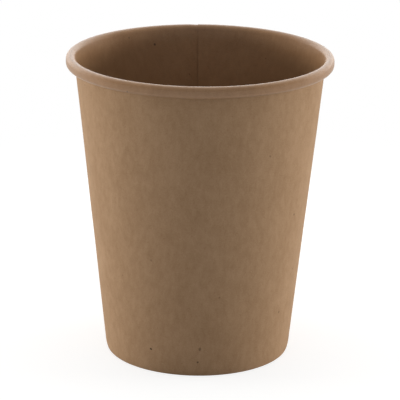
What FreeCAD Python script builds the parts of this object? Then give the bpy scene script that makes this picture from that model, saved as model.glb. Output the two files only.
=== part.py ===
"""Disposable kraft paper cup for hot drinks, 8 oz size, open at the top.

Two pieces of paperboard make the cup. The sidewall is one fan-shaped blank, wrapped into a cone and
sealed along a lap seam at the back. Its top edge is rolled outwards into the rim, and its bottom edge
is turned in and up, round the skirt of the second piece. That piece is the bottom: a disc with its
edge drawn down into the skirt, so that the floor stands clear of the table.

Frame: the origin is the centre of the foot on the table, and +Z is up the cup's axis. The front faces
-Y, and the seam is at the back, on the +Y side. Lengths are in millimetres, angles in degrees.
"""

import FreeCAD, Part
import math
import os

import Sketcher
from FreeCAD import Vector

PARTS_FOLDER = "parts"

DRIVING_DIMENSIONS = {
    "rim_diameter": (80.0, "outside of the rolled rim"),
    "cup_height": (92.0, "table to the top of the rim"),
    "foot_diameter": (56.0, "outside of the wall at the table"),
    "board_thickness": (0.35, "sidewall board"),
    "roll_top_radius": (1.4, "bend where the wall turns over into the rim"),
    "roll_side_length": (0.85, "straight side of the rim between its two bends"),
    "roll_under_turn": (145.0, "turn of the second bend, under the rim"),
    "roll_gap": (0.09, "between the rim's cut edge and the seam's outer layer"),
    "lap_width": (7.0, "overlap of the two ends of the blank"),
    "lap_ramp_width": (3.0, "width in which the outer end climbs over the inner one"),
    "seam_angle": (91.1, "place of the seam's inner edge, turned about Z from +X"),
    "floor_height": (8.0, "table to the top of the floor"),
    "floor_thickness": (0.30, "bottom board"),
    "floor_corner_radius": (0.9, "outside bend between the floor and its skirt"),
    "fold_clearance": (1.2, "cut edge of the turned-in foot to the underside of the floor"),
    "skirt_clearance": (0.05, "skirt's cut edge to the level where the foot's turn begins"),
    "seal_gap": (0.02, "heat-seal coating on each side of the skirt"),
    "foot_press": (0.05, "how far the foot's turn is pressed flat"),
}

# Sizes that follow from the driving dimensions.
RIM_RADIUS = "(dims.rim_diameter / 2)"
FOOT_RADIUS = "(dims.foot_diameter / 2)"
ROLL_CENTRE_X = f"({RIM_RADIUS} - dims.roll_top_radius)"
ROLL_CENTRE_Z = "(dims.cup_height - dims.roll_top_radius)"
WALL_RUN = f"({ROLL_CENTRE_X} - {FOOT_RADIUS})"
WALL_REACH = f"hypot({WALL_RUN}; {ROLL_CENTRE_Z})"
WALL_LEAN = (f"(acos((dims.roll_top_radius - dims.board_thickness) / {WALL_REACH})"
             f" - atan2({ROLL_CENTRE_Z}; {WALL_RUN}))")
UNDER_GAP = "(2 * dims.board_thickness + dims.roll_gap)"
TURN_RADIUS = "(dims.floor_thickness / 2 + dims.seal_gap)"
TURN_CENTRE_Z = f"({TURN_RADIUS} + dims.board_thickness - dims.foot_press)"
FOLD_HEIGHT = "(dims.floor_height - dims.floor_thickness - dims.fold_clearance)"
SKIRT_EDGE_Z = f"({TURN_CENTRE_Z} + dims.skirt_clearance)"
SKIRT_EDGE_X = (f"({FOOT_RADIUS} - (dims.board_thickness + dims.seal_gap) / cos({WALL_LEAN})"
                f" + {SKIRT_EDGE_Z} * tan({WALL_LEAN}))")
RAMP_ANGLE = f"(dims.lap_ramp_width / {RIM_RADIUS} * 1rad)"
LAP_SWEEP = f"(2 * dims.lap_width / {FOOT_RADIUS} * 1rad)"

# Names that a sketch gives to the ends of its lines and arcs, to its origin and to its X axis.
START, END, CENTRE = 1, 2, 3
ORIGIN = (-1, START)
X_AXIS = -1

UP = Vector(0, 0, 1)


def make_sheet(doc):
    """Put the driving dimensions in a spreadsheet, one row each, with their meaning beside them."""
    sheet = doc.addObject("Spreadsheet::Sheet", "dims")
    for row, (name, (value, meaning)) in enumerate(DRIVING_DIMENSIONS.items(), start=1):
        sheet.set(f"A{row}", name)
        sheet.set(f"B{row}", str(value))
        sheet.set(f"C{row}", meaning)
        sheet.setAlias(f"B{row}", name)
    doc.recompute()
    return sheet


def size_of(sheet, expression):
    """Work out an expression of the sheet's dimensions: a length in mm or an angle in degrees."""
    found = sheet.evalExpression(expression)
    return float(getattr(found, "Value", found))


def bind(sketch, sheet, expression, kind, *places):
    """Dimension a sketch by an expression, so that it follows the sheet."""
    value = size_of(sheet, expression)
    if kind == "Angle":
        value = math.radians(value)
    index = sketch.addConstraint(Sketcher.Constraint(kind, *places, value))
    sketch.setExpression(f"Constraints[{index}]", expression)


def add_line(sketch, start, end):
    return sketch.addGeometry(Part.LineSegment(Vector(*start, 0), Vector(*end, 0)))


def add_arc(sketch, centre, radius, first_angle, last_angle):
    circle = Part.Circle(Vector(*centre, 0), UP, radius)
    return sketch.addGeometry(Part.ArcOfCircle(circle, math.radians(first_angle), math.radians(last_angle)))


def join(sketch, kind, *ends):
    """Join pairs of ends, given in order along the outline, as Tangent or Coincident."""
    for first, second in zip(ends[::2], ends[1::2]):
        sketch.addConstraint(Sketcher.Constraint(kind, *first, *second))


def stand_upright(sketch, angle):
    """Turn a sketch into the half-plane at an angle about Z: its X runs outwards and its Y runs up."""
    sketch.setExpression(
        "Placement",
        f"placement(vector(0; 0; 0); rotation(vector(0; 0; 1); {angle}) * rotation(vector(1; 0; 0); 90))",
    )


def draw_board_line(doc, sheet, name, angle):
    """Draw the sidewall's drink side as one line, from its cut edge in the foot to its cut edge in the rim."""
    rim_radius = size_of(sheet, RIM_RADIUS)
    lean = size_of(sheet, WALL_LEAN)
    slope = math.tan(math.radians(lean))
    top_radius = size_of(sheet, "dims.roll_top_radius")
    turn_radius = size_of(sheet, TURN_RADIUS)
    turn_z = size_of(sheet, TURN_CENTRE_Z)
    turn_x = size_of(sheet, FOOT_RADIUS) - size_of(sheet, "dims.board_thickness") - turn_radius
    roll_centre = (size_of(sheet, ROLL_CENTRE_X), size_of(sheet, ROLL_CENTRE_Z))
    fold_rise = size_of(sheet, FOLD_HEIGHT) - turn_z
    side_end_z = roll_centre[1] - size_of(sheet, "dims.roll_side_length")
    under_radius = top_radius - size_of(sheet, UNDER_GAP) / 4
    under_turn = size_of(sheet, "dims.roll_under_turn")

    sketch = doc.addObject("Sketcher::SketchObject", name)
    stand_upright(sketch, angle)
    fold = add_line(sketch, (turn_x - turn_radius + fold_rise * slope, turn_z + fold_rise),
                    (turn_x - turn_radius, turn_z))
    foot_turn = add_arc(sketch, (turn_x, turn_z), turn_radius, 180 - lean, 360 - lean)
    wall = add_line(sketch, (turn_x + turn_radius, turn_z), (rim_radius - 2 * top_radius, roll_centre[1]))
    roll_top = add_arc(sketch, roll_centre, top_radius, 0, 180 - lean)
    roll_side = add_line(sketch, (rim_radius, roll_centre[1]), (rim_radius, side_end_z))
    roll_under = add_arc(sketch, (rim_radius - under_radius, side_end_z), under_radius, -under_turn, 0)
    join(sketch, "Tangent",
         (fold, END), (foot_turn, START),
         (foot_turn, END), (wall, START),
         (wall, END), (roll_top, END),
         (roll_top, START), (roll_side, START),
         (roll_side, END), (roll_under, END))
    sketch.addConstraint(Sketcher.Constraint("Parallel", fold, wall))
    sketch.addConstraint(Sketcher.Constraint("Vertical", roll_side))

    bind(sketch, sheet, f"90deg - {WALL_LEAN}", "Angle", X_AXIS, START, wall, START)
    bind(sketch, sheet, TURN_RADIUS, "Radius", foot_turn)
    bind(sketch, sheet, TURN_CENTRE_Z, "DistanceY", *ORIGIN, foot_turn, CENTRE)
    bind(sketch, sheet, FOLD_HEIGHT, "DistanceY", *ORIGIN, fold, START)
    bind(sketch, sheet, "dims.roll_top_radius", "Radius", roll_top)
    bind(sketch, sheet, ROLL_CENTRE_X, "DistanceX", *ORIGIN, roll_top, CENTRE)
    bind(sketch, sheet, ROLL_CENTRE_Z, "DistanceY", *ORIGIN, roll_top, CENTRE)
    bind(sketch, sheet, "dims.roll_side_length", "Distance", roll_side)
    bind(sketch, sheet, "dims.roll_under_turn * 1deg", "Angle", roll_under)
    bind(sketch, sheet, UNDER_GAP, "Distance", roll_under, START, wall)
    return sketch


def thicken(doc, name, line, expression, fill=True):
    """Offset a line to the side away from the drink: filled it is the board's section, else its far side."""
    offset = doc.addObject("Part::Offset2D", name)
    offset.Source = line
    offset.Mode = "Skin"
    offset.Fill = fill
    offset.setExpression("Value", f"-{expression}")
    return offset


def revolve(doc, name, section, axis, angle):
    """Sweep a section about the cup's axis."""
    turned = doc.addObject("Part::Revolution", name)
    turned.Source = section
    turned.Axis = axis
    turned.Solid = True
    turned.setExpression("Angle", angle)
    return turned


def make_sidewall(doc, sheet):
    """Wrap the sidewall as one open turn whose far end ramps outwards and laps over the near end.

    The half-plane at 0 degrees holds the seam's inner edge until the finished wall is turned to its
    place. The inner layer runs all the way round to that edge, the ramp climbs just before it, and
    the outer layer lies over the start of the turn.
    """
    seam_line = draw_board_line(doc, sheet, "seam_line", "0deg")
    ramp_line = draw_board_line(doc, sheet, "ramp_line", RAMP_ANGLE)
    doc.recompute()

    inner_section = thicken(doc, "inner_section", ramp_line, "dims.board_thickness")
    inner_layer = revolve(doc, "inner_layer", inner_section, UP, f"360deg - {RAMP_ANGLE}")
    seam_back = thicken(doc, "seam_back", seam_line, "dims.board_thickness", fill=False)
    doc.recompute()
    outer_section = thicken(doc, "outer_section", seam_back, "dims.board_thickness")
    outer_turn = revolve(doc, "outer_turn", outer_section, -UP, LAP_SWEEP)

    ramp = doc.addObject("Part::Loft", "lap_ramp")
    ramp.Sections = [inner_section, outer_section]
    ramp.Solid = True
    ramp.Ruled = True

    lap_band = doc.addObject("Part::Box", "lap_band")
    lap_band.setExpression("Length", RIM_RADIUS)
    lap_band.setExpression("Width", "dims.lap_width")
    lap_band.setExpression("Height", "dims.cup_height")
    lap_band.setExpression("Placement.Base.y", "-dims.lap_width")
    outer_layer = doc.addObject("Part::Common", "outer_layer")
    outer_layer.Base = outer_turn
    outer_layer.Tool = lap_band

    wrapped = doc.addObject("Part::MultiFuse", "wrapped_board")
    wrapped.Shapes = [inner_layer, ramp, outer_layer]
    above_table = doc.addObject("Part::Cylinder", "above_table")
    above_table.setExpression("Radius", "dims.rim_diameter")
    above_table.setExpression("Height", "2 * dims.cup_height")

    sidewall = doc.addObject("Part::Common", "sidewall")
    sidewall.Base = wrapped
    sidewall.Tool = above_table
    sidewall.Label = "sidewall"
    sidewall.setExpression("Placement.Rotation.Angle", "dims.seam_angle * 1deg")
    return sidewall


def make_bottom_disc(doc, sheet):
    """Draw half the section of the bottom, from its centre to its skirt, and turn it about the axis."""
    lean = size_of(sheet, WALL_LEAN)
    slope = math.tan(math.radians(lean))
    board = size_of(sheet, "dims.floor_thickness")
    floor_z = size_of(sheet, "dims.floor_height")
    edge_x, edge_z = size_of(sheet, SKIRT_EDGE_X), size_of(sheet, SKIRT_EDGE_Z)
    outer_bend = size_of(sheet, "dims.floor_corner_radius")
    inner_bend = outer_bend - board
    bend_z = floor_z - outer_bend
    bend_x = edge_x + (bend_z - edge_z) * slope - outer_bend
    body = doc.addObject("PartDesign::Body", "bottom_disc")
    body.Label = "bottom_disc"
    body.Placement = FreeCAD.Placement()
    sketch = body.newObject("Sketcher::SketchObject", "bottom_section")
    upright = next(plane for plane in body.Origin.OriginFeatures if plane.Role == "XZ_Plane")
    sketch.AttachmentSupport = [(upright, "")]
    sketch.MapMode = "FlatFace"

    floor_top = add_line(sketch, (0, floor_z), (bend_x, floor_z))
    bend_out = add_arc(sketch, (bend_x, bend_z), outer_bend, -lean, 90)
    skirt_out = add_line(sketch, (bend_x + outer_bend, bend_z), (edge_x, edge_z))
    cut_edge = add_line(sketch, (edge_x, edge_z), (edge_x - board, edge_z))
    skirt_in = add_line(sketch, (edge_x - board, edge_z), (bend_x + inner_bend, bend_z))
    bend_in = add_arc(sketch, (bend_x, bend_z), inner_bend, -lean, 90)
    floor_under = add_line(sketch, (bend_x, floor_z - board), (0, floor_z - board))
    middle = add_line(sketch, (0, floor_z - board), (0, floor_z))
    join(sketch, "Tangent",
         (floor_top, END), (bend_out, END),
         (bend_out, START), (skirt_out, START),
         (skirt_in, END), (bend_in, START),
         (bend_in, END), (floor_under, START))
    join(sketch, "Coincident",
         (skirt_out, END), (cut_edge, START),
         (cut_edge, END), (skirt_in, START),
         (floor_under, END), (middle, START),
         (middle, END), (floor_top, START),
         (bend_out, CENTRE), (bend_in, CENTRE))
    sketch.addConstraint(Sketcher.Constraint("Horizontal", floor_top))
    sketch.addConstraint(Sketcher.Constraint("Horizontal", floor_under))
    sketch.addConstraint(Sketcher.Constraint("Vertical", middle))
    sketch.addConstraint(Sketcher.Constraint("Parallel", skirt_in, skirt_out))
    sketch.addConstraint(Sketcher.Constraint("Perpendicular", cut_edge, skirt_out))

    bind(sketch, sheet, "0mm", "DistanceX", *ORIGIN, middle, START)
    bind(sketch, sheet, "dims.floor_height", "DistanceY", *ORIGIN, floor_top, START)
    bind(sketch, sheet, "dims.floor_thickness", "Distance", middle)
    bind(sketch, sheet, "dims.floor_corner_radius", "Radius", bend_out)
    bind(sketch, sheet, f"90deg - {WALL_LEAN}", "Angle", X_AXIS, START, skirt_out, END)
    bind(sketch, sheet, SKIRT_EDGE_X, "DistanceX", *ORIGIN, skirt_out, END)
    bind(sketch, sheet, SKIRT_EDGE_Z, "DistanceY", *ORIGIN, skirt_out, END)

    turned = body.newObject("PartDesign::Revolution", "drawn_disc")
    turned.Profile = sketch
    turned.ReferenceAxis = (sketch, ["V_Axis"])
    turned.Angle = 360
    body.Tip = turned
    return body


def check(doc, pieces):
    """Stop if anything in the document failed, or if a piece isn't one sound solid."""
    for item in doc.Objects:
        if "Invalid" in item.State or "Error" in item.State:
            raise RuntimeError(f"{item.Name} failed: {item.State}")
        if item.TypeId == "Sketcher::SketchObject" and not item.FullyConstrained:
            raise RuntimeError(f"{item.Name} isn't fully constrained")
    for piece in pieces:
        shape = piece.Shape
        if shape.isNull() or not shape.isValid() or len(shape.Solids) != 1:
            raise RuntimeError(f"{piece.Label} isn't one sound solid")


def main():
    doc = FreeCAD.newDocument("paper_cup")
    sheet = make_sheet(doc)
    pieces = [make_sidewall(doc, sheet), make_bottom_disc(doc, sheet)]
    doc.recompute()
    check(doc, pieces)
    os.makedirs(PARTS_FOLDER, exist_ok=True)
    for piece in pieces:
        piece.Shape.exportStep(os.path.join(PARTS_FOLDER, f"{piece.Label}.step"))
        box = piece.Shape.BoundBox
        print(f"{piece.Label}: {piece.Shape.Volume:.1f} mm3, {len(piece.Shape.Faces)} faces, "
              f"x {box.XMin:.3f} to {box.XMax:.3f}, y {box.YMin:.3f} to {box.YMax:.3f}, "
              f"z {box.ZMin:.3f} to {box.ZMax:.3f}")


main()
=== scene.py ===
"""Looks of the kraft paper coffee cup: a rolled-rim sidewall and a drawn bottom, both of thin board.

Each piece of board is drawn as one line in a half-plane, turned about the cup's axis into a sheet,
mapped to the flat blank that it was cut from, and given its thickness last. Lengths are in metres.
"""

import logging
import math
import random
from collections.abc import Iterator, Mapping, Sequence
from contextlib import contextmanager
from dataclasses import dataclass
from enum import Enum, IntEnum

import bpy
import numpy as np
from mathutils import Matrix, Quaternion, Vector


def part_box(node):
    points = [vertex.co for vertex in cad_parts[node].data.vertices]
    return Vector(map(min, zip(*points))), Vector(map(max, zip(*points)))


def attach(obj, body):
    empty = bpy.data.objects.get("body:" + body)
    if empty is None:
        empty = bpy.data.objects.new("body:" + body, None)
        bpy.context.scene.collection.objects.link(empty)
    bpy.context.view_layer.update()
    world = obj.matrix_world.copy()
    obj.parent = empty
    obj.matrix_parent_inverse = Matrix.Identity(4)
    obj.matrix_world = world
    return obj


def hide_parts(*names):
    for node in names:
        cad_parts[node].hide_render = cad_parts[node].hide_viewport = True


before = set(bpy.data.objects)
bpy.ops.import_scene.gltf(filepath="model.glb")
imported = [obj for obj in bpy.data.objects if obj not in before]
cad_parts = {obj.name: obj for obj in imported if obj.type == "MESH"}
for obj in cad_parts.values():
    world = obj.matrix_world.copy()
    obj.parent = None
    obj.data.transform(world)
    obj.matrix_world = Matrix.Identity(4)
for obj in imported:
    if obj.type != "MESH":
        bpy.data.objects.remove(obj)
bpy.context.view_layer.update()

MM = 0.001
BODY = "root"
BLANK_MAP = "Blank"
WHITE = (1.0, 1.0, 1.0, 1.0)
UP = (0.0, 0.0, 1.0)
ORIGIN = (0.0, 0.0, 0.0)

Colour = tuple[float, float, float]
Point = tuple[float, float]
Span = tuple[float, float]

log = logging.getLogger("paper_cup")


class Side(IntEnum):
    """Material slots of a piece of board, in the order that its thickness uses them."""

    DRINK = 0
    OUTSIDE = 1
    CUT_EDGE = 2


@dataclass(frozen=True)
class Look:
    """How a face of the board takes the light: tone, roughness and its sway, relief and sheen."""

    tone: Colour
    roughness: float
    sway: float
    relief: float
    sheen: float


class Coating(Enum):
    """What covers the fibres of a face of the board."""

    BARE = Look((0.357, 0.222, 0.124), roughness=0.72, sway=0.22, relief=0.07 * MM, sheen=0.2)
    POLY = Look((0.301, 0.167, 0.081), roughness=0.40, sway=0.10, relief=0.03 * MM, sheen=0.5)


def ease(share: float) -> float:
    """Ease a share from 0 to 1, level at both ends."""
    share = min(max(share, 0.0), 1.0)
    return share * share * (3.0 - 2.0 * share)


def spread(first: float, last: float, count: int) -> list[float]:
    """Give evenly spaced values after the first one, up to the last."""
    return [first + (last - first) * step / count for step in range(1, count + 1)]


def arc(centre: Point, radius: float, angles: Sequence[float]) -> list[Point]:
    """Give the points of an arc at these angles, in radians."""
    return [(centre[0] + radius * math.cos(a), centre[1] + radius * math.sin(a)) for a in angles]


def runs_along(line: Sequence[Point]) -> np.ndarray:
    """Give the distance along a line of each of its points, from the first one."""
    steps = np.hypot(*np.diff(np.array(line), axis=0).T)
    return np.concatenate([[0.0], np.cumsum(steps)])


class Signal:
    """A socket's output that works in expressions: each operator adds its Math node."""

    def __init__(self, bench: "NodeBench", node: bpy.types.Node, output: int | str) -> None:
        """Keep the bench that made the node, and the output that expressions read."""
        self.bench = bench
        self.node = node
        self.socket = node.outputs[output] if node.outputs else None

    def output(self, name: int | str) -> "Signal":
        """Give another output of the same node."""
        return Signal(self.bench, self.node, name)

    def _math(self, operation: str, first: object, second: object) -> "Signal":
        """Add a Math node for two values."""
        return self.bench.add("ShaderNodeMath", {"operation": operation}, {0: first, 1: second})

    def __add__(self, other: "Signal | float") -> "Signal":
        """Add."""
        return self._math("ADD", self, other)

    def __radd__(self, other: float) -> "Signal":
        """Add to a number."""
        return self._math("ADD", other, self)

    def __sub__(self, other: "Signal | float") -> "Signal":
        """Subtract."""
        return self._math("SUBTRACT", self, other)

    def __rsub__(self, other: float) -> "Signal":
        """Subtract from a number."""
        return self._math("SUBTRACT", other, self)

    def __mul__(self, other: "Signal | float") -> "Signal":
        """Multiply."""
        return self._math("MULTIPLY", self, other)

    def __rmul__(self, other: float) -> "Signal":
        """Multiply a number."""
        return self._math("MULTIPLY", other, self)


class NodeBench:
    """A node tree under construction. Every node comes from add, and the rest are recipes of it."""

    def __init__(self, tree: bpy.types.NodeTree) -> None:
        """Clear the tree."""
        self.tree = tree
        tree.nodes.clear()

    def add(
        self,
        kind: str,
        settings: Mapping[str, object] | None = None,
        inputs: Mapping[int | str, object] | None = None,
        output: int | str = 0,
    ) -> Signal:
        """Add a node, set it up and wire it.

        Args:
            kind: the node's type.
            settings: properties of the node, which are set first.
            inputs: a value or a Signal for each socket, by its name or place.
            output: the output that the Signal reads.

        Returns:
            The node's output, to be used in expressions.
        """
        node = self.tree.nodes.new(kind)
        for name, value in (settings or {}).items():
            setattr(node, name, value)
        for place, value in (inputs or {}).items():
            if isinstance(value, Signal):
                self.tree.links.new(value.socket, node.inputs[place])
            else:
                node.inputs[place].default_value = value
        return Signal(self, node, output)

    def noise(self, place: Signal, size: float, detail: float = 2.0, roughness: float = 0.5) -> Signal:
        """Make noise whose features have a size in metres; its mean is about a half."""
        inputs = {"Vector": place, "Scale": 1.0 / size, "Detail": detail, "Roughness": roughness}
        return self.add("ShaderNodeTexNoise", {"noise_dimensions": "3D"}, inputs)

    def rise(self, value: Signal, low: float, high: float) -> Signal:
        """Ease from 0 to 1 while a value goes from low to high."""
        settings = {"interpolation_type": "SMOOTHSTEP", "clamp": True}
        return self.add("ShaderNodeMapRange", settings, {0: value, 1: low, 2: high, 3: 0.0, 4: 1.0})

    def blend(
        self, factor: "Signal | float", first: "Signal | Colour", second: "Signal | Colour"
    ) -> Signal:
        """Mix two colours.

        Args:
            factor: how much of the second colour is in the mix.
            first: the colour at a factor of 0.
            second: the colour at a factor of 1.

        Returns:
            The mixed colour.
        """
        settings = {"data_type": "RGBA", "clamp_factor": True}
        inputs = {0: factor, 6: self.colour(first), 7: self.colour(second)}
        return self.add("ShaderNodeMix", settings, inputs, 2)

    def vector(self, operation: str, *values: object, output: int | str = 0) -> Signal:
        """Add a Vector Math node for up to three values."""
        inputs = dict(enumerate(values))
        return self.add("ShaderNodeVectorMath", {"operation": operation}, inputs, output)

    @staticmethod
    def colour(value: "Signal | Colour") -> "Signal | tuple[float, ...]":
        """Give a plain colour its fourth number, and leave a Signal as it is."""
        return value if isinstance(value, Signal) else (*value, 1.0)


@dataclass(frozen=True)
class Fleck:
    """One bark speck in the board, by its place on the standing cup. The angle is in degrees."""

    angle: float
    height: float
    radius: float
    strength: float


@dataclass(frozen=True)
class Fibres:
    """One family of visible fibres, all lying in about one direction, in radians on the blank."""

    direction: float
    length: float
    width: float
    seed: float


@dataclass(frozen=True)
class KraftFinish:
    """Unbleached kraft board: cloudy, grainy, with fibres and a few bark specks.

    The depth is a height in the noise, so that no two faces of board look the same. Within the clear
    width, on both sides of the blank's middle line, only the specks that are given show.
    """

    name: str
    coating: Coating
    depth: float
    specks: tuple[tuple[Point, Fleck], ...] = ()
    clear_width: float = 0.0

    DARKER = (0.80, 0.76, 0.70)
    PALER = (1.20, 1.24, 1.30)
    CLOUD = 7.0 * MM
    MOTTLE = 1.6 * MM
    GRAIN = 0.45 * MM
    GRAIN_STRETCH = 0.5
    CLOUD_TINT = 0.6
    MOTTLE_TINT = 0.75
    GRAIN_TINT = 0.55
    PALE_TINT = 0.17
    DARK_TINT = -0.22
    GRAIN_RELIEF = 0.5
    MOTTLE_RELIEF = 0.35
    FIBRE_RELIEF = 0.12
    WANDER = 0.5 * MM
    WANDER_SIZE = 1.4 * MM
    FIBRE_EDGE = (0.60, 0.74)
    SPECK_CELL = 11.0 * MM
    SPECK_CHANCE = 0.45
    SPECK_REACH = 0.026
    SPECK_EDGE = (-0.004, 0.006)
    SPECK_STRENGTH = 0.75
    SPECK_SOFTNESS = 0.35
    SPECK_COLOUR = (0.055, 0.030, 0.018)
    CLEAR_FADE = 0.9
    DARK_FIBRES = (
        Fibres(0.15, 2.6 * MM, 0.14 * MM, 0.013),
        Fibres(1.25, 2.0 * MM, 0.12 * MM, 0.029),
        Fibres(2.30, 2.3 * MM, 0.13 * MM, 0.047),
    )
    PALE_FIBRES = (
        Fibres(0.70, 2.2 * MM, 0.12 * MM, 0.061),
        Fibres(1.85, 2.8 * MM, 0.14 * MM, 0.083),
    )

    def streaks(self, bench: NodeBench, place: Signal, families: Sequence[Fibres]) -> Signal:
        """Draw families of fibres as thin wavy streaks.

        Args:
            bench: the tree under construction.
            place: the place on the blank.
            families: the families to draw.

        Returns:
            A mask, 1 on a fibre.
        """
        mask = 0.0
        for family in families:
            inputs = {
                "Vector": place,
                "Location": (family.seed, -family.seed, 0.0),
                "Rotation": (0.0, 0.0, family.direction),
                "Scale": (family.length, family.width, 1.0),
            }
            lanes = bench.add("ShaderNodeMapping", {"vector_type": "TEXTURE"}, inputs)
            mask = mask + bench.rise(bench.noise(lanes, 1.0, detail=1.0), *self.FIBRE_EDGE)
        return mask

    def bark(self, bench: NodeBench, place: Signal) -> Signal:
        """Scatter small bark specks, and put the ones that stand out where they belong.

        Args:
            bench: the tree under construction.
            place: the place on the blank.

        Returns:
            A mask, 1 inside a speck.
        """
        settings = {"voronoi_dimensions": "2D", "feature": "F1"}
        inputs = {"Vector": place, "Scale": 1.0 / self.SPECK_CELL}
        cells = bench.add("ShaderNodeTexVoronoi", settings, inputs)
        chance = bench.add("ShaderNodeSeparateColor", None, {0: cells.output("Color")})
        reach = bench.rise(chance, self.SPECK_CHANCE, 1.0) * self.SPECK_REACH
        mask = bench.rise(reach - cells, *self.SPECK_EDGE) * self.SPECK_STRENGTH
        if self.clear_width > 0.0:
            across = bench.add("ShaderNodeSeparateXYZ", None, {0: place}, "X")
            aside = bench.add("ShaderNodeMath", {"operation": "ABSOLUTE"}, {0: across})
            mask = mask * bench.rise(aside, self.CLEAR_FADE * self.clear_width, self.clear_width)
        for (across, along), fleck in self.specks:
            away = bench.vector("DISTANCE", place, (across, along, self.depth), output="Value")
            edge = self.SPECK_SOFTNESS * fleck.radius
            spot = bench.rise(fleck.radius - away, -edge, edge)
            mask = mask + spot * fleck.strength
        return mask

    def make(self) -> bpy.types.Material:
        """Build the material.

        Returns:
            The finished material.
        """
        material = bpy.data.materials.new(self.name)
        material.use_nodes = True
        bench = NodeBench(material.node_tree)
        blank = bench.add("ShaderNodeUVMap", {"uv_map": BLANK_MAP})
        place = bench.vector("ADD", blank, (0.0, 0.0, self.depth))
        wander = bench.vector(
            "MULTIPLY_ADD",
            bench.noise(place, self.WANDER_SIZE, detail=1.0).output("Color"),
            (self.WANDER, self.WANDER, 0.0),
            bench.vector("ADD", place, (-self.WANDER / 2, -self.WANDER / 2, 0.0)),
        )
        drawn = bench.vector("MULTIPLY", place, (1.0, self.GRAIN_STRETCH, 1.0))
        cloud = bench.noise(drawn, self.CLOUD, detail=3.0, roughness=0.55) - 0.5
        mottle = bench.noise(drawn, self.MOTTLE, roughness=0.6) - 0.5
        grain = bench.noise(wander, self.GRAIN, roughness=0.65) - 0.5
        dark = self.streaks(bench, wander, self.DARK_FIBRES)
        pale = self.streaks(bench, wander, self.PALE_FIBRES)

        tint = 0.5 + self.CLOUD_TINT * cloud + self.MOTTLE_TINT * mottle + self.GRAIN_TINT * grain
        tint = tint + self.PALE_TINT * pale + self.DARK_TINT * dark
        look = self.coating.value
        low = tuple(part * share for part, share in zip(look.tone, self.DARKER))
        high = tuple(part * share for part, share in zip(look.tone, self.PALER))
        board = bench.blend(tint, low, high)
        board = bench.blend(self.bark(bench, wander), board, self.SPECK_COLOUR)

        relief = self.GRAIN_RELIEF * grain + self.MOTTLE_RELIEF * mottle
        relief = relief + self.FIBRE_RELIEF * (pale - dark)
        bump = bench.add(
            "ShaderNodeBump", None, {"Strength": 1.0, "Distance": look.relief, "Height": relief}
        )
        shader = bench.add(
            "ShaderNodeBsdfPrincipled",
            None,
            {
                "Base Color": board,
                "Roughness": look.roughness + look.sway * grain,
                "Specular IOR Level": look.sheen,
                "Normal": bump,
            },
        )
        bench.add("ShaderNodeOutputMaterial", None, {"Surface": shader})
        return material


@dataclass(frozen=True)
class CutEdgeFinish:
    """The raw cut through the board, where the plies and the ends of the fibres show."""

    name: str
    tone: Colour = (0.40, 0.26, 0.155)
    shadow: Colour = (0.23, 0.135, 0.075)
    ply: float = 0.12 * MM
    cloud: float = 2.5 * MM
    ply_weight: float = 0.7
    lit_span: Span = (0.35, 0.62)
    relief: float = 0.05 * MM
    roughness: float = 0.82
    sway: float = 0.2

    def make(self) -> bpy.types.Material:
        """Build the material.

        Returns:
            The finished material.
        """
        material = bpy.data.materials.new(self.name)
        material.use_nodes = True
        bench = NodeBench(material.node_tree)
        place = bench.add("ShaderNodeTexCoord", output="Object")
        plies = bench.noise(place, self.ply, roughness=0.7)
        cloud = bench.noise(place, self.cloud)
        mixed = self.ply_weight * plies + (1.0 - self.ply_weight) * cloud
        lit = bench.rise(mixed, *self.lit_span)
        bump = bench.add(
            "ShaderNodeBump", None, {"Strength": 1.0, "Distance": self.relief, "Height": plies}
        )
        shader = bench.add(
            "ShaderNodeBsdfPrincipled",
            None,
            {
                "Base Color": bench.blend(lit, self.shadow, self.tone),
                "Roughness": self.roughness - self.sway * (plies - 0.5),
                "Normal": bump,
            },
        )
        bench.add("ShaderNodeOutputMaterial", None, {"Surface": shader})
        return material


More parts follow.
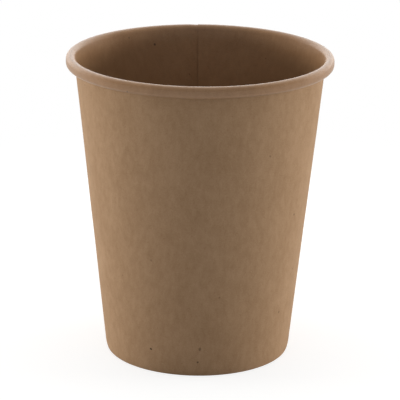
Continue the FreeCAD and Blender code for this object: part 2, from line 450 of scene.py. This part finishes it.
class SheetModel:
    """A sheet that is drawn as a line, turned about the cup's axis and worked on by operators."""

    STARTER_SIZE = 1.0 * MM
    CREASE_ANGLE = math.radians(50.0)

    def __init__(self, name: str, line: Sequence[Point], angle: float) -> None:
        """Draw the line in one half-plane, and leave all of it selected.

        Args:
            name: name of the piece and of its mesh.
            line: radius and height of each point.
            angle: direction of the half-plane, in radians about +Z from +X.
        """
        bpy.ops.object.select_all(action="DESELECT")
        bpy.ops.mesh.primitive_plane_add(size=self.STARTER_SIZE)
        self.piece = bpy.context.object
        self.piece.name = name
        self.piece.data.name = name
        bpy.context.tool_settings.mesh_select_mode = (True, False, False)
        outwards = Vector((math.cos(angle), math.sin(angle), 0.0))
        places = [outwards * radius + Vector(UP) * height for radius, height in line]
        with self.editing():
            bpy.ops.mesh.select_all(action="SELECT")
            bpy.ops.mesh.merge(type="CENTER")
            bpy.ops.transform.translate(value=places[0])
            for here, there in zip(places, places[1:]):
                bpy.ops.mesh.extrude_vertices_move(TRANSFORM_OT_translate={"value": there - here})
            bpy.ops.mesh.select_all(action="SELECT")
        drawn = self.points()
        wanted = np.array([place[:] for place in places])
        self.row_of = np.argmin(np.linalg.norm(drawn[:, None] - wanted[None], axis=2), axis=1)

    @contextmanager
    def editing(self) -> Iterator[None]:
        """Work in edit mode for as long as the block runs."""
        bpy.ops.object.mode_set(mode="EDIT")
        yield
        bpy.ops.object.mode_set(mode="OBJECT")

    def points(self) -> np.ndarray:
        """Read the mesh's vertices.

        Returns:
            The place of every vertex, one row each.
        """
        found = np.empty(len(self.piece.data.vertices) * 3, dtype=np.float32)
        self.piece.data.vertices.foreach_get("co", found)
        return found.reshape(-1, 3).astype(float)

    def grid(self) -> tuple[np.ndarray, np.ndarray]:
        """Find every vertex in the turned sheet, while no vertex has been merged, cut or added.

        Returns:
            The row of the line and the column of the turn of every vertex.
        """
        vertices = np.arange(len(self.piece.data.vertices))
        rows = len(self.row_of)
        return self.row_of[vertices % rows], vertices // rows

    def pick(self, wanted: np.ndarray) -> None:
        """Select some vertices, and what lies wholly between them.

        Args:
            wanted: a flag for every vertex.
        """
        mesh = self.piece.data
        mesh.polygons.foreach_set("select", np.zeros(len(mesh.polygons), dtype=bool))
        mesh.edges.foreach_set("select", np.zeros(len(mesh.edges), dtype=bool))
        mesh.vertices.foreach_set("select", wanted)
        with self.editing():
            bpy.ops.mesh.select_mode(type="VERT")

    def turn(self, columns: int, column_angle: float) -> None:
        """Sweep the selected line clockwise, seen from above, in even columns."""
        with self.editing():
            bpy.ops.mesh.spin(steps=columns, angle=columns * column_angle, center=ORIGIN, axis=UP)

    def scale(self, wanted: np.ndarray, factors: Sequence[float], centre: Sequence[float]) -> None:
        """Scale some vertices about a point.

        Args:
            wanted: a flag for every vertex.
            factors: the scale along each axis.
            centre: the point that stays.
        """
        self.pick(wanted)
        with self.editing():
            bpy.ops.transform.resize(value=factors, center_override=centre)

    def map_blank(self, flat: np.ndarray) -> None:
        """Give every corner of the mesh its place on the flat blank.

        Args:
            flat: the place of every vertex on the blank, in metres.
        """
        mesh = self.piece.data
        for old in list(mesh.uv_layers):
            mesh.uv_layers.remove(old)
        layer = mesh.uv_layers.new(name=BLANK_MAP)
        corners = np.empty(len(mesh.loops), dtype=np.int32)
        mesh.loops.foreach_get("vertex_index", corners)
        layer.uv.foreach_set("vector", flat[corners].astype(np.float32).ravel())

    def face(self, towards: Vector) -> None:
        """Turn all faces the same way, so that the last one drawn looks towards a direction.

        Args:
            towards: the direction that the last face is to look towards.
        """
        with self.editing():
            bpy.ops.mesh.select_all(action="SELECT")
            bpy.ops.mesh.normals_make_consistent(inside=False)
            bpy.ops.object.mode_set(mode="OBJECT")
            looks_away = self.piece.data.polygons[-1].normal.dot(towards) < 0
            bpy.ops.object.mode_set(mode="EDIT")
            if looks_away:
                bpy.ops.mesh.flip_normals()

    def modify(self, kind: str, **settings: object) -> None:
        """Add a modifier with its settings, and apply it.

        Args:
            kind: the modifier's type.
            **settings: its properties.
        """
        bpy.ops.object.modifier_add(type=kind)
        modifier = self.piece.modifiers[-1]
        for name, value in settings.items():
            setattr(modifier, name, value)
        bpy.ops.object.modifier_apply(modifier=modifier.name)

    def weigh(self, name: str, weights: np.ndarray) -> None:
        """Give the piece a vertex group.

        Args:
            name: name of the group.
            weights: a weight from 0 to 1 for every vertex.
        """
        group = self.piece.vertex_groups.new(name=name)
        for weight in np.unique(weights[weights > 0.0]):
            group.add(np.flatnonzero(weights == weight).tolist(), float(weight), "REPLACE")

    def thicken(
        self,
        board: float,
        finishes: Sequence[bpy.types.Material],
        pressed: str = "",
        least: float = 1.0,
    ) -> None:
        """Give the sheet its board, behind the face that is drawn, with a finish for each side.

        Args:
            board: thickness of the board.
            finishes: a material for each Side, in order.
            pressed: name of the group of vertices where the board is pressed thinner.
            least: share of its thickness that fully pressed board keeps.
        """
        for finish in finishes:
            self.piece.data.materials.append(finish)
        self.modify(
            "SOLIDIFY",
            thickness=board,
            offset=-1.0,
            use_even_offset=True,
            use_rim=True,
            material_offset=Side.OUTSIDE.value,
            material_offset_rim=Side.CUT_EDGE.value,
            vertex_group=pressed,
            invert_vertex_group=bool(pressed),
            thickness_vertex_group=least if pressed else 0.0,
        )
        self.piece.vertex_groups.clear()

    def ripple(self, weights: np.ndarray, strength: float, size: float) -> None:
        """Let the sheet wave softly, as pressed board does.

        Args:
            weights: how freely every vertex may move, from 0 to 1.
            strength: height of the waves.
            size: length of the waves.
        """
        self.weigh("free", weights)
        waves = bpy.data.textures.new(f"{self.piece.name}_waves", "CLOUDS")
        waves.noise_scale = size
        self.modify("DISPLACE", texture=waves, vertex_group="free", strength=strength)
        self.piece.vertex_groups.clear()

    def finish(self, node: str, slot: str) -> None:
        """Smooth the piece, let it stand for its CAD node and report it.

        Args:
            node: the CAD node that it replaces.
            slot: the record's material slot; it is not used.
        """
        bpy.ops.object.shade_smooth_by_angle(angle=self.CREASE_ANGLE)
        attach(self.piece, BODY)
        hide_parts(node)
        self.report()

    def report(self) -> None:
        """Log the piece's size. Its volume is positive when its faces point outwards."""
        mesh = self.piece.data
        mesh.calc_loop_triangles()
        places = self.points()
        corners = np.empty(len(mesh.loop_triangles) * 3, dtype=np.int32)
        mesh.loop_triangles.foreach_get("vertices", corners)
        first, second, third = places[corners.reshape(-1, 3)].transpose(1, 0, 2)
        volume = float(np.einsum("ij,ij->", first, np.cross(second, third)) / 6.0)
        sides = np.bincount([face.material_index for face in mesh.polygons], minlength=len(Side))
        log.info(
            "%s: %d triangles, %.0f mm3, faces per side %s",
            self.piece.name,
            len(mesh.loop_triangles),
            volume / MM**3,
            sides.tolist(),
        )


@dataclass(frozen=True)
class BoardLine:
    """The drink side of the sidewall as one line, from its cut edge in the foot to that in the rim."""

    rim_radius: float
    height: float
    foot_radius: float = 28.0 * MM
    board: float = 0.35 * MM
    roll_top: float = 1.4 * MM
    roll_side: float = 0.85 * MM
    under_turn: float = math.radians(145.0)
    roll_gap: float = 0.09 * MM
    turn_radius: float = 0.17 * MM
    turn_height: float = 0.47 * MM
    fold_height: float = 6.5 * MM
    curl_height: float = 2.4 * MM
    curl_depth: float = 0.35 * MM

    FOLD_SHARES = (1.0, 0.95, 0.90, 0.70, 0.50, 0.30, 0.14, 0.08)
    LOW_HEIGHTS = (0.8 * MM, 1.4 * MM, 1.9 * MM, 2.5 * MM, 4.5 * MM)
    TURN_ROWS = 8
    WALL_ROWS = 22
    TOP_ROWS = 16
    UNDER_ROWS = 12

    @property
    def lean(self) -> float:
        """Work out how far the wall leans, from the foot's edge to the roll that it touches.

        Returns:
            The angle from upright, in radians.
        """
        run = self.rim_radius - self.roll_top - self.foot_radius
        rise = self.height - self.roll_top
        return math.acos((self.roll_top - self.board) / math.hypot(run, rise)) - math.atan2(rise, run)

    @property
    def turn_centre(self) -> Point:
        """Centre of the foot's turn."""
        return self.foot_radius - self.board - self.turn_radius, self.turn_height

    @property
    def wall_foot(self) -> Point:
        """Where the wall's straight part begins."""
        return arc(self.turn_centre, self.turn_radius, [-self.lean])[0]

    @property
    def roll_centre(self) -> Point:
        """Centre of the rim's round top."""
        return self.rim_radius - self.roll_top, self.height - self.roll_top

    def wall_radius(self, height: float) -> float:
        """Give the radius of the drink side at a height of the wall's straight part."""
        return self.wall_foot[0] + (height - self.wall_foot[1]) * math.tan(self.lean)

    def curl(self, place: Point) -> Point:
        """Bring a place of the foot inwards, more the lower it lies, as the pressed foot curls in."""
        share = max(0.0, 1.0 - place[1] / self.curl_height)
        return place[0] - self.curl_depth * share**2, place[1]

    def points(self) -> list[Point]:
        """Draw the line: the turned-in fold, the foot's turn, the wall and the rolled rim.

        Returns:
            The radius and height of each point.
        """
        lean = self.lean
        turn_start = arc(self.turn_centre, self.turn_radius, [math.pi - lean])[0]
        fold_rise = self.fold_height - turn_start[1]
        fold = [
            (turn_start[0] + share * fold_rise * math.tan(lean), turn_start[1] + share * fold_rise)
            for share in self.FOLD_SHARES
        ]
        half_turn = spread(math.pi - lean, math.tau - lean, self.TURN_ROWS)
        turn = [turn_start] + arc(self.turn_centre, self.turn_radius, half_turn)
        roll_start = arc(self.roll_centre, self.roll_top, [math.pi - lean])[0]
        heights = [*self.LOW_HEIGHTS, *spread(self.LOW_HEIGHTS[-1], roll_start[1], self.WALL_ROWS)]
        wall = [(self.wall_radius(height), height) for height in heights]
        top = arc(self.roll_centre, self.roll_top, spread(math.pi - lean, 0.0, self.TOP_ROWS))
        return [self.curl(place) for place in fold + turn + wall] + top + self.under_roll()

    def under_roll(self) -> list[Point]:
        """Draw the rim's straight side and the tucked-in end, which stops just short of the wall.

        Returns:
            The radius and height of each point.
        """
        lean, turned = self.lean, self.under_turn
        side_end = self.roll_centre[1] - self.roll_side
        reach = (self.rim_radius - self.foot_radius) * math.cos(lean) - side_end * math.sin(lean)
        reach -= self.board + self.roll_gap
        radius = reach / ((1.0 - math.cos(turned)) * math.cos(lean) - math.sin(turned) * math.sin(lean))
        tuck = arc((self.rim_radius - radius, side_end), radius, spread(0.0, -turned, self.UNDER_ROWS))
        return [(self.rim_radius, side_end)] + tuck

    def on_blank(self, turned: np.ndarray | float, run: np.ndarray | float) -> np.ndarray:
        """Unroll places of the wall to the flat, fan-shaped blank.

        Args:
            turned: angle from the seam's inner edge, clockwise from above, in radians.
            run: distance up the board from the wall's foot.

        Returns:
            The two coordinates of each place on the blank, in its last axis.
        """
        radius = self.wall_foot[0] / math.sin(self.lean) + run
        fan = (turned - math.pi) * math.sin(self.lean)
        return np.stack([radius * np.sin(fan), radius * np.cos(fan)], axis=-1)


@dataclass
class SidewallBoard:
    """The fan-shaped blank, wrapped and lapped at the back, with its rolled rim and turned-in foot."""

    line: BoardLine
    seam_angle: float = math.radians(91.1)
    columns: int = 480
    ramp_columns: int = 6
    lap_width: float = 7.0 * MM
    lap_gap: float = 0.015 * MM
    spare_columns: int = 3
    foot_press: float = 0.05 * MM
    press_height: float = 0.8 * MM
    climb_columns: int = 8
    knurl_depth: float = 0.18 * MM
    knurl_rows: tuple[int, int] = (2, 6)
    knurl_pitch: int = 4
    wave_height: float = 0.28 * MM
    wave_length: float = 26.0 * MM
    wave_low: float = 9.0 * MM
    wave_low_rise: float = 22.0 * MM
    wave_high: float = 87.5 * MM
    wave_high_fall: float = 20.0 * MM
    rim_press: float = 0.3
    rim_press_start: float = 84.0 * MM
    rim_press_rise: float = 4.5 * MM
    press_fade_columns: int = 8
    clear_width: float = 30.0 * MM
    outer_flecks: tuple[Fleck, ...] = (
        Fleck(-118.6, 7.7 * MM, 0.30 * MM, 0.95),
        Fleck(-88.2, 9.3 * MM, 0.42 * MM, 0.45),
        Fleck(-88.4, 8.8 * MM, 0.30 * MM, 0.30),
        Fleck(-89.6, 4.9 * MM, 0.27 * MM, 0.70),
        Fleck(-54.3, 69.0 * MM, 0.32 * MM, 0.35),
        Fleck(-115.5, 36.7 * MM, 0.35 * MM, 0.22),
        Fleck(-34.6, 16.7 * MM, 0.30 * MM, 0.45),
        Fleck(-135.9, 29.5 * MM, 0.28 * MM, 0.30),
        Fleck(-77.7, 25.7 * MM, 0.26 * MM, 0.30),
    )
    inner_flecks: tuple[Fleck, ...] = (
        Fleck(112.8, 86.5 * MM, 0.36 * MM, 0.85),
        Fleck(126.8, 89.6 * MM, 0.30 * MM, 0.45),
    )

    @property
    def column_angle(self) -> float:
        """Angle between two columns."""
        return math.tau / self.columns

    @property
    def lap_columns(self) -> int:
        """Columns that lap over the start, up to just past the straight cut."""
        whole = math.ceil(self.lap_width / self.line.foot_radius / self.column_angle)
        return whole + self.spare_columns

    @property
    def lap_lift(self) -> float:
        """How far the outer layer lies from the inner one."""
        return self.line.board + self.lap_gap

    def climb(self, column: int) -> float:
        """Give the share of the lap's lift that a ramp column has reached."""
        return ease(column / self.ramp_columns)

    def wrap(self, name: str) -> SheetModel:
        """Turn the line round the axis, up the ramp and over its own start.

        Args:
            name: name of the piece.

        Returns:
            The sheet, still without thickness.
        """
        sheet = SheetModel(name, self.line.points(), self.seam_angle)
        sheet.turn(self.columns - self.ramp_columns, self.column_angle)
        for column in range(1, self.ramp_columns + 1):
            rise = (self.climb(column) - self.climb(column - 1)) * self.lap_lift
            sheet.turn(1, self.column_angle)
            with sheet.editing():
                bpy.ops.transform.shrink_fatten(value=rise, use_even_offset=True)
        sheet.turn(self.lap_columns, self.column_angle)
        return sheet

    def press_rim_lap(self, sheet: SheetModel) -> None:
        """Bring the lap's layers closer where they are rolled together and squeezed in the rim.

        Args:
            sheet: the wrapped sheet.
        """
        rows, columns = sheet.grid()
        steps = np.clip(columns - (self.columns - self.ramp_columns), 0, self.ramp_columns)
        climbs = np.array([self.climb(step) for step in range(self.ramp_columns + 1)])[steps]
        shares = self.rim_shares()[rows] * climbs
        spare = (1.0 - self.rim_press) * self.line.board
        for share in np.unique(shares[shares > 0.0]):
            sheet.pick(shares == share)
            with sheet.editing():
                bpy.ops.transform.shrink_fatten(value=-share * spare, use_even_offset=True)

    def rim_shares(self) -> np.ndarray:
        """Tell how much of the board takes part in the squeezed rim.

        Returns:
            A share from 0 to 1 for each row of the line.
        """
        shares = []
        for index, (_, height) in enumerate(self.line.points()):
            share = ease((height - self.rim_press_start) / self.rim_press_rise)
            shares.append(1.0 if index > self.wall_rows else share)
        return np.array(shares)

    @property
    def fold_rows(self) -> int:
        """Number of the line's row at which the wall begins, after the fold and the foot's turn."""
        return len(self.line.FOLD_SHARES) + self.line.TURN_ROWS

    @property
    def wall_rows(self) -> int:
        """Number of the line's row at which the rolled rim begins."""
        return self.fold_rows + len(self.line.LOW_HEIGHTS) + self.line.WALL_ROWS

    def pressed_start(self, sheet: SheetModel) -> np.ndarray:
        """Tell where the board's start is squeezed thin under the rolled lap, from 0 to 1.

        Args:
            sheet: the wrapped sheet.

        Returns:
            A weight for every vertex.
        """
        rows, columns = sheet.grid()
        fade = np.clip((columns - self.lap_columns) / self.press_fade_columns, 0.0, 1.0)
        return self.rim_shares()[rows] * np.where(columns < self.columns // 2, 1.0 - fade, 0.0)

    def specks(self, flecks: Sequence[Fleck]) -> tuple[tuple[Point, Fleck], ...]:
        """Find flecks on the flat blank.

        Args:
            flecks: the flecks, by their places on the standing cup.

        Returns:
            The place on the blank of each fleck, with the fleck itself.
        """
        found = []
        for fleck in flecks:
            turned = (self.seam_angle - math.radians(fleck.angle)) % math.tau
            run = (fleck.height - self.line.wall_foot[1]) / math.cos(self.line.lean)
            across, along = self.line.on_blank(turned, run)
            found.append(((float(across), float(along)), fleck))
        return tuple(found)

    def map_sheet(self, sheet: SheetModel) -> None:
        """Map the wrapped sheet to its flat blank.

        Args:
            sheet: the wrapped sheet.
        """
        runs = runs_along(self.line.points())
        runs -= runs[self.fold_rows]
        rows, columns = sheet.grid()
        sheet.map_blank(self.line.on_blank(columns * self.column_angle, runs[rows]))

    def knurl(self, sheet: SheetModel) -> None:
        """Press upright ribs into the turned-in fold, as the tool that squeezes the foot leaves them.

        Args:
            sheet: the wrapped sheet.
        """
        rows, columns = sheet.grid()
        first, last = self.knurl_rows
        ribbed = (rows >= first) & (rows <= last) & (columns % self.knurl_pitch == 0)
        inwards = 1.0 - self.knurl_depth / self.line.wall_foot[0]
        sheet.scale(ribbed, (inwards, inwards, 1.0), ORIGIN)

    def wave(self, sheet: SheetModel) -> None:
        """Let the wall wave softly between the stiff foot and the stiff rim.

        Args:
            sheet: the wrapped sheet.
        """
        rows, _ = sheet.grid()
        weights = []
        for index, (_, height) in enumerate(self.line.points()):
            share = ease((height - self.wave_low) / self.wave_low_rise)
            share *= ease((self.wave_high - height) / self.wave_high_fall)
            weights.append(share if index > self.fold_rows else 0.0)
        sheet.ripple(np.array(weights)[rows], self.wave_height, self.wave_length)

    def trim_lap(self, sheet: SheetModel) -> None:
        """Cut the outer layer straight, parallel to the seam's inner edge.

        Args:
            sheet: the wrapped sheet.
        """
        _, columns = sheet.grid()
        sheet.pick(columns >= self.columns)
        across = Vector((math.sin(self.seam_angle), -math.cos(self.seam_angle), 0.0))
        with sheet.editing():
            bpy.ops.mesh.bisect(plane_co=across * self.lap_width, plane_no=across, clear_outer=True)

    def press_foot(self, sheet: SheetModel) -> None:
        """Press the foot flat on the table, harder where the lap makes it thicker.

        Args:
            sheet: the finished wall, with its thickness.
        """
        places = sheet.points()
        turned = (self.seam_angle - np.arctan2(places[:, 1], places[:, 0])) % math.tau
        columns = np.rint(turned / self.column_angle).astype(int) % self.columns
        low = places[:, 2] < self.press_height
        lap = self.lap_columns - self.spare_columns + 1
        shares = np.zeros(self.columns)
        shares[: lap + 1] = 1.0
        for step in range(1, self.climb_columns):
            shares[lap + step] = 1.0 - ease(step / self.climb_columns)
        for step in range(1, self.ramp_columns):
            shares[self.columns - self.ramp_columns + step] = self.climb(step)
        for share in np.unique(shares):
            hang = self.foot_press + share * self.lap_lift
            flatten = self.press_height / (self.press_height + hang)
            picked = low & (shares[columns] == share)
            sheet.scale(picked, (1.0, 1.0, flatten), (0.0, 0.0, self.press_height))

    def build(self) -> None:
        """Model the sidewall and dress it."""
        sheet = self.wrap("wrapped_sidewall")
        self.press_rim_lap(sheet)
        self.map_sheet(sheet)
        self.knurl(sheet)
        self.wave(sheet)
        sheet.weigh("pressed", self.pressed_start(sheet))
        self.trim_lap(sheet)
        last = sheet.piece.data.polygons[-1].center
        sheet.face(Vector((-last.x, -last.y, 0.0)))
        sheet.thicken(self.line.board, self.finishes(), "pressed", self.rim_press)
        self.press_foot(sheet)
        sheet.finish("sidewall", "sidewall_board")

    def finishes(self) -> list[bpy.types.Material]:
        """Make the finish of each side of the board.

        Returns:
            A material for each Side, in order.
        """
        inner, outer = self.specks(self.inner_flecks), self.specks(self.outer_flecks)
        return [
            KraftFinish("coated_kraft", Coating.POLY, 0.31, inner).make(),
            KraftFinish("bare_kraft", Coating.BARE, 0.17, outer, self.clear_width).make(),
            CutEdgeFinish("cut_board").make(),
        ]


@dataclass
class BottomDisc:
    """The bottom: a disc whose edge is drawn down into a skirt, puckered where it bends."""

    line: BoardLine
    floor_height: float
    board: float = 0.30 * MM
    corner: float = 0.9 * MM
    seal_gap: float = 0.02 * MM
    skirt_edge: float = 0.52 * MM
    columns: int = 420
    floor_rows: int = 14
    corner_rows: int = 8
    skirt_rows: int = 8
    pucker_depth: float = 0.05 * MM
    pucker_depth_shares: tuple[float, ...] = (0.4, 0.7, 1.0)
    pucker_pitch: tuple[int, int] = (4, 8)
    pucker_seed: int = 7
    pucker_rows: tuple[int, int] = (2, 8)
    wave_height: float = 0.16 * MM
    wave_length: float = 15.0 * MM
    wave_spread: float = 3.0
    weld_distance: float = 0.001 * MM

    def points(self) -> list[Point]:
        """Draw the drink side from the middle of the floor, over the corner and down the skirt.

        Returns:
            The radius and height of each point.
        """
        lean = self.line.lean
        slope = math.tan(lean)
        edge = self.line.foot_radius - (self.line.board + self.seal_gap) / math.cos(lean)
        edge += self.skirt_edge * slope
        bend_height = self.floor_height - self.corner
        bend = edge + (bend_height - self.skirt_edge) * slope - self.corner / math.cos(lean)
        floor = [(radius, self.floor_height) for radius in [0.0, *spread(0.0, bend, self.floor_rows)]]
        corner = arc((bend, bend_height), self.corner, spread(math.pi / 2, -lean, self.corner_rows))
        start = corner[-1]
        skirt = [
            (start[0] + (edge - start[0]) * share, start[1] + (self.skirt_edge - start[1]) * share)
            for share in spread(0.0, 1.0, self.skirt_rows)
        ]
        return floor + corner + [self.line.curl(place) for place in skirt]

    def pucker(self, sheet: SheetModel) -> None:
        """Gather the spare board at the corner into small uneven folds.

        Args:
            sheet: the turned sheet.
        """
        rows, columns = sheet.grid()
        line = self.points()
        bent_rows = [row for row, (_, height) in enumerate(line) if height < self.floor_height]
        first, last = self.pucker_rows
        gathered = np.isin(rows, bent_rows[first : last + 1])
        shuffle = random.Random(self.pucker_seed)
        valleys = {share: [] for share in self.pucker_depth_shares}
        column = 0
        while column <= self.columns - self.pucker_pitch[0]:
            valleys[shuffle.choice(self.pucker_depth_shares)].append(column)
            column += shuffle.randint(*self.pucker_pitch)
        for share, found in valleys.items():
            inwards = 1.0 - share * self.pucker_depth / line[-1][0]
            sheet.scale(gathered & np.isin(columns, found), (inwards, inwards, 1.0), ORIGIN)

    def map_sheet(self, sheet: SheetModel) -> None:
        """Map the turned sheet to the flat disc that it was drawn from.

        Args:
            sheet: the turned sheet.
        """
        rows, columns = sheet.grid()
        runs = runs_along(self.points())[rows]
        angles = columns * math.tau / self.columns
        sheet.map_blank(np.stack([runs * np.cos(angles), runs * np.sin(angles)], axis=-1))

    def wave(self, sheet: SheetModel) -> None:
        """Let the floor wave softly inside its stiff corner.

        Args:
            sheet: the turned sheet.
        """
        rows, _ = sheet.grid()
        line = self.points()
        rim = line[self.floor_rows][0]
        floor = line[: self.floor_rows]
        weights = [ease((1.0 - radius / rim) * self.wave_spread) for radius, _ in floor]
        weights += [0.0] * (len(line) - len(floor))
        sheet.ripple(np.array(weights)[rows], self.wave_height, self.wave_length)

    def build(self) -> None:
        """Model the bottom and dress it."""
        sheet = SheetModel("drawn_bottom", self.points(), 0.0)
        sheet.turn(self.columns, math.tau / self.columns)
        self.map_sheet(sheet)
        self.pucker(sheet)
        self.wave(sheet)
        with sheet.editing():
            bpy.ops.mesh.select_all(action="SELECT")
            bpy.ops.mesh.remove_doubles(threshold=self.weld_distance)
        last = sheet.piece.data.polygons[-1].center
        sheet.face(Vector((last.x, last.y, 0.0)))
        finishes = [
            KraftFinish("coated_bottom", Coating.POLY, 0.53).make(),
            KraftFinish("bare_bottom", Coating.BARE, 0.71).make(),
            CutEdgeFinish("cut_bottom").make(),
        ]
        sheet.thicken(self.board, finishes)
        sheet.finish("bottom_disc", "bottom_board")


@dataclass(frozen=True)
class SoftBox:
    """A large soft lamp that looks at the cup, by its angles in degrees, its sizes and its power."""

    name: str
    azimuth: float
    elevation: float
    distance: float
    width: float
    height: float
    power: float

    def build(self, aim: Vector) -> None:
        """Hang the lamp.

        Args:
            aim: the point that it looks at.
        """
        turn, rise = math.radians(self.azimuth), math.radians(self.elevation)
        back = Vector((math.sin(turn) * math.cos(rise), -math.cos(turn) * math.cos(rise), math.sin(rise)))
        light = bpy.data.lights.new(self.name, "AREA")
        light.shape = "RECTANGLE"
        light.size = self.width
        light.size_y = self.height
        light.energy = self.power
        lamp = bpy.data.objects.new(self.name, light)
        lamp.location = aim + back * self.distance
        lamp.rotation_mode = "QUATERNION"
        lamp.rotation_quaternion = (-back).to_track_quat("-Z", "Y")
        lamp.visible_camera = False
        lamp.visible_glossy = False
        bpy.context.scene.collection.objects.link(lamp)


@dataclass
class PhotoStudio:
    """A pale table, soft lamps at both sides and the camera at the photograph's angle."""

    aim_height: float
    distance: float = 709.0 * MM
    elevation: float = math.radians(17.494)
    roll: float = math.radians(0.6244)
    pan: float = math.radians(-0.0333)
    tilt: float = math.radians(0.0299)
    lens: float = 210.1
    lamps: tuple[SoftBox, ...] = (
        SoftBox("right_box", 105.0, 6.0, 1.5, 1.1, 0.28, 20.0),
        SoftBox("left_box", -105.0, 6.0, 1.5, 1.1, 0.28, 20.0),
        SoftBox("top_box", 180.0, 80.0, 1.4, 1.0, 1.0, 6.5),
    )
    floor_size: float = 6.0
    floor_tone: Colour = (0.70, 0.70, 0.69)
    shadow_share: float = 0.6
    shadow_fade: Span = (60.0 * MM, 240.0 * MM)
    near_white: float = 1.87
    ambient: float = 0.38
    sheen_turn: Span = (-0.1, 0.9)
    front_level: float = 0.4
    back_level: float = 2.6

    def place_camera(self) -> None:
        """Place the camera, and roll it as the photograph is rolled."""
        data = bpy.data.cameras.new("camera")
        data.lens = self.lens
        camera = bpy.data.objects.new("camera", data)
        aim = Vector((0.0, 0.0, self.aim_height))
        back = Vector((0.0, -math.cos(self.elevation), math.sin(self.elevation)))
        camera.location = aim + back * self.distance
        camera.rotation_mode = "QUATERNION"
        turn = (-back).to_track_quat("-Z", "Y")
        turn = turn @ Quaternion((0.0, 1.0, 0.0), self.pan) @ Quaternion((1.0, 0.0, 0.0), self.tilt)
        camera.rotation_quaternion = turn @ Quaternion((0.0, 0.0, 1.0), self.roll)
        bpy.context.scene.collection.objects.link(camera)
        bpy.context.scene.camera = camera

    def fill_air(self) -> None:
        """Fill the room: white to the eye, dim on the board, and in its sheen brighter at the back."""
        world = bpy.data.worlds.new("studio_air")
        world.use_nodes = True
        bpy.context.scene.world = world
        bench = NodeBench(world.node_tree)
        path = bench.add("ShaderNodeLightPath", output="Is Camera Ray")
        direction = bench.add("ShaderNodeTexCoord", output="Generated")
        backwards = bench.add("ShaderNodeSeparateXYZ", None, {0: direction}, "Y")
        back = bench.rise(backwards, *self.sheen_turn)
        sheen = back * (self.back_level - self.front_level) + self.front_level
        seen = path + path.output("Is Transmission Ray")
        glossy = path.output("Is Glossy Ray")
        level = seen + glossy * sheen + (1.0 - seen - glossy) * self.ambient
        air = bench.add("ShaderNodeBackground", None, {"Color": WHITE, "Strength": level})
        bench.add("ShaderNodeOutputWorld", None, {"Surface": air})

    def lay_floor(self) -> None:
        """Lay the pale table, which keeps the cup's shadow and turns plain white farther out."""
        bpy.ops.object.select_all(action="DESELECT")
        bpy.ops.mesh.primitive_plane_add(size=self.floor_size)
        floor = bpy.context.object
        floor.name = "pale_table"
        material = bpy.data.materials.new("pale_table")
        material.use_nodes = True
        bench = NodeBench(material.node_tree)
        place = bench.add("ShaderNodeTexCoord", output="Object")
        away = bench.vector("LENGTH", place, output="Value")
        far = bench.rise(away, *self.shadow_fade)
        path = bench.add("ShaderNodeLightPath", output="Is Camera Ray")
        eye = path + path.output("Is Glossy Ray") + path.output("Is Transmission Ray")
        matt = bench.add(
            "ShaderNodeBsdfDiffuse", None, {"Color": NodeBench.colour(self.floor_tone), "Roughness": 0.5}
        )
        level = self.near_white + (1.0 - self.near_white) * far
        white = bench.add("ShaderNodeEmission", None, {"Color": level, "Strength": 1.0})
        share = eye * (1.0 - self.shadow_share + self.shadow_share * far)
        table = bench.add("ShaderNodeMixShader", None, {0: share, 1: matt, 2: white})
        clear = bench.add("ShaderNodeBsdfTransparent")
        below = path * bench.add("ShaderNodeNewGeometry", output="Backfacing")
        table = bench.add("ShaderNodeMixShader", None, {0: below, 1: table, 2: clear})
        bench.add("ShaderNodeOutputMaterial", None, {"Surface": table})
        floor.data.materials.append(material)

    def build(self) -> None:
        """Set the studio up round the cup."""
        self.place_camera()
        self.fill_air()
        self.lay_floor()
        for lamp in self.lamps:
            lamp.build(Vector((0.0, 0.0, self.aim_height)))
        bpy.context.scene.view_settings.view_transform = "Standard"
        log.info("studio: %d lamps", len(self.lamps))


def main() -> None:
    """Build the cup and its studio."""
    logging.basicConfig(level=logging.INFO, format="%(name)s: %(message)s")
    _, wall_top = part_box("sidewall")
    _, floor_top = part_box("bottom_disc")
    line = BoardLine(rim_radius=wall_top.x, height=wall_top.z)
    SidewallBoard(line).build()
    BottomDisc(line, floor_height=floor_top.z).build()
    PhotoStudio(aim_height=line.height / 2).build()


if __name__ == "__main__":
    main()
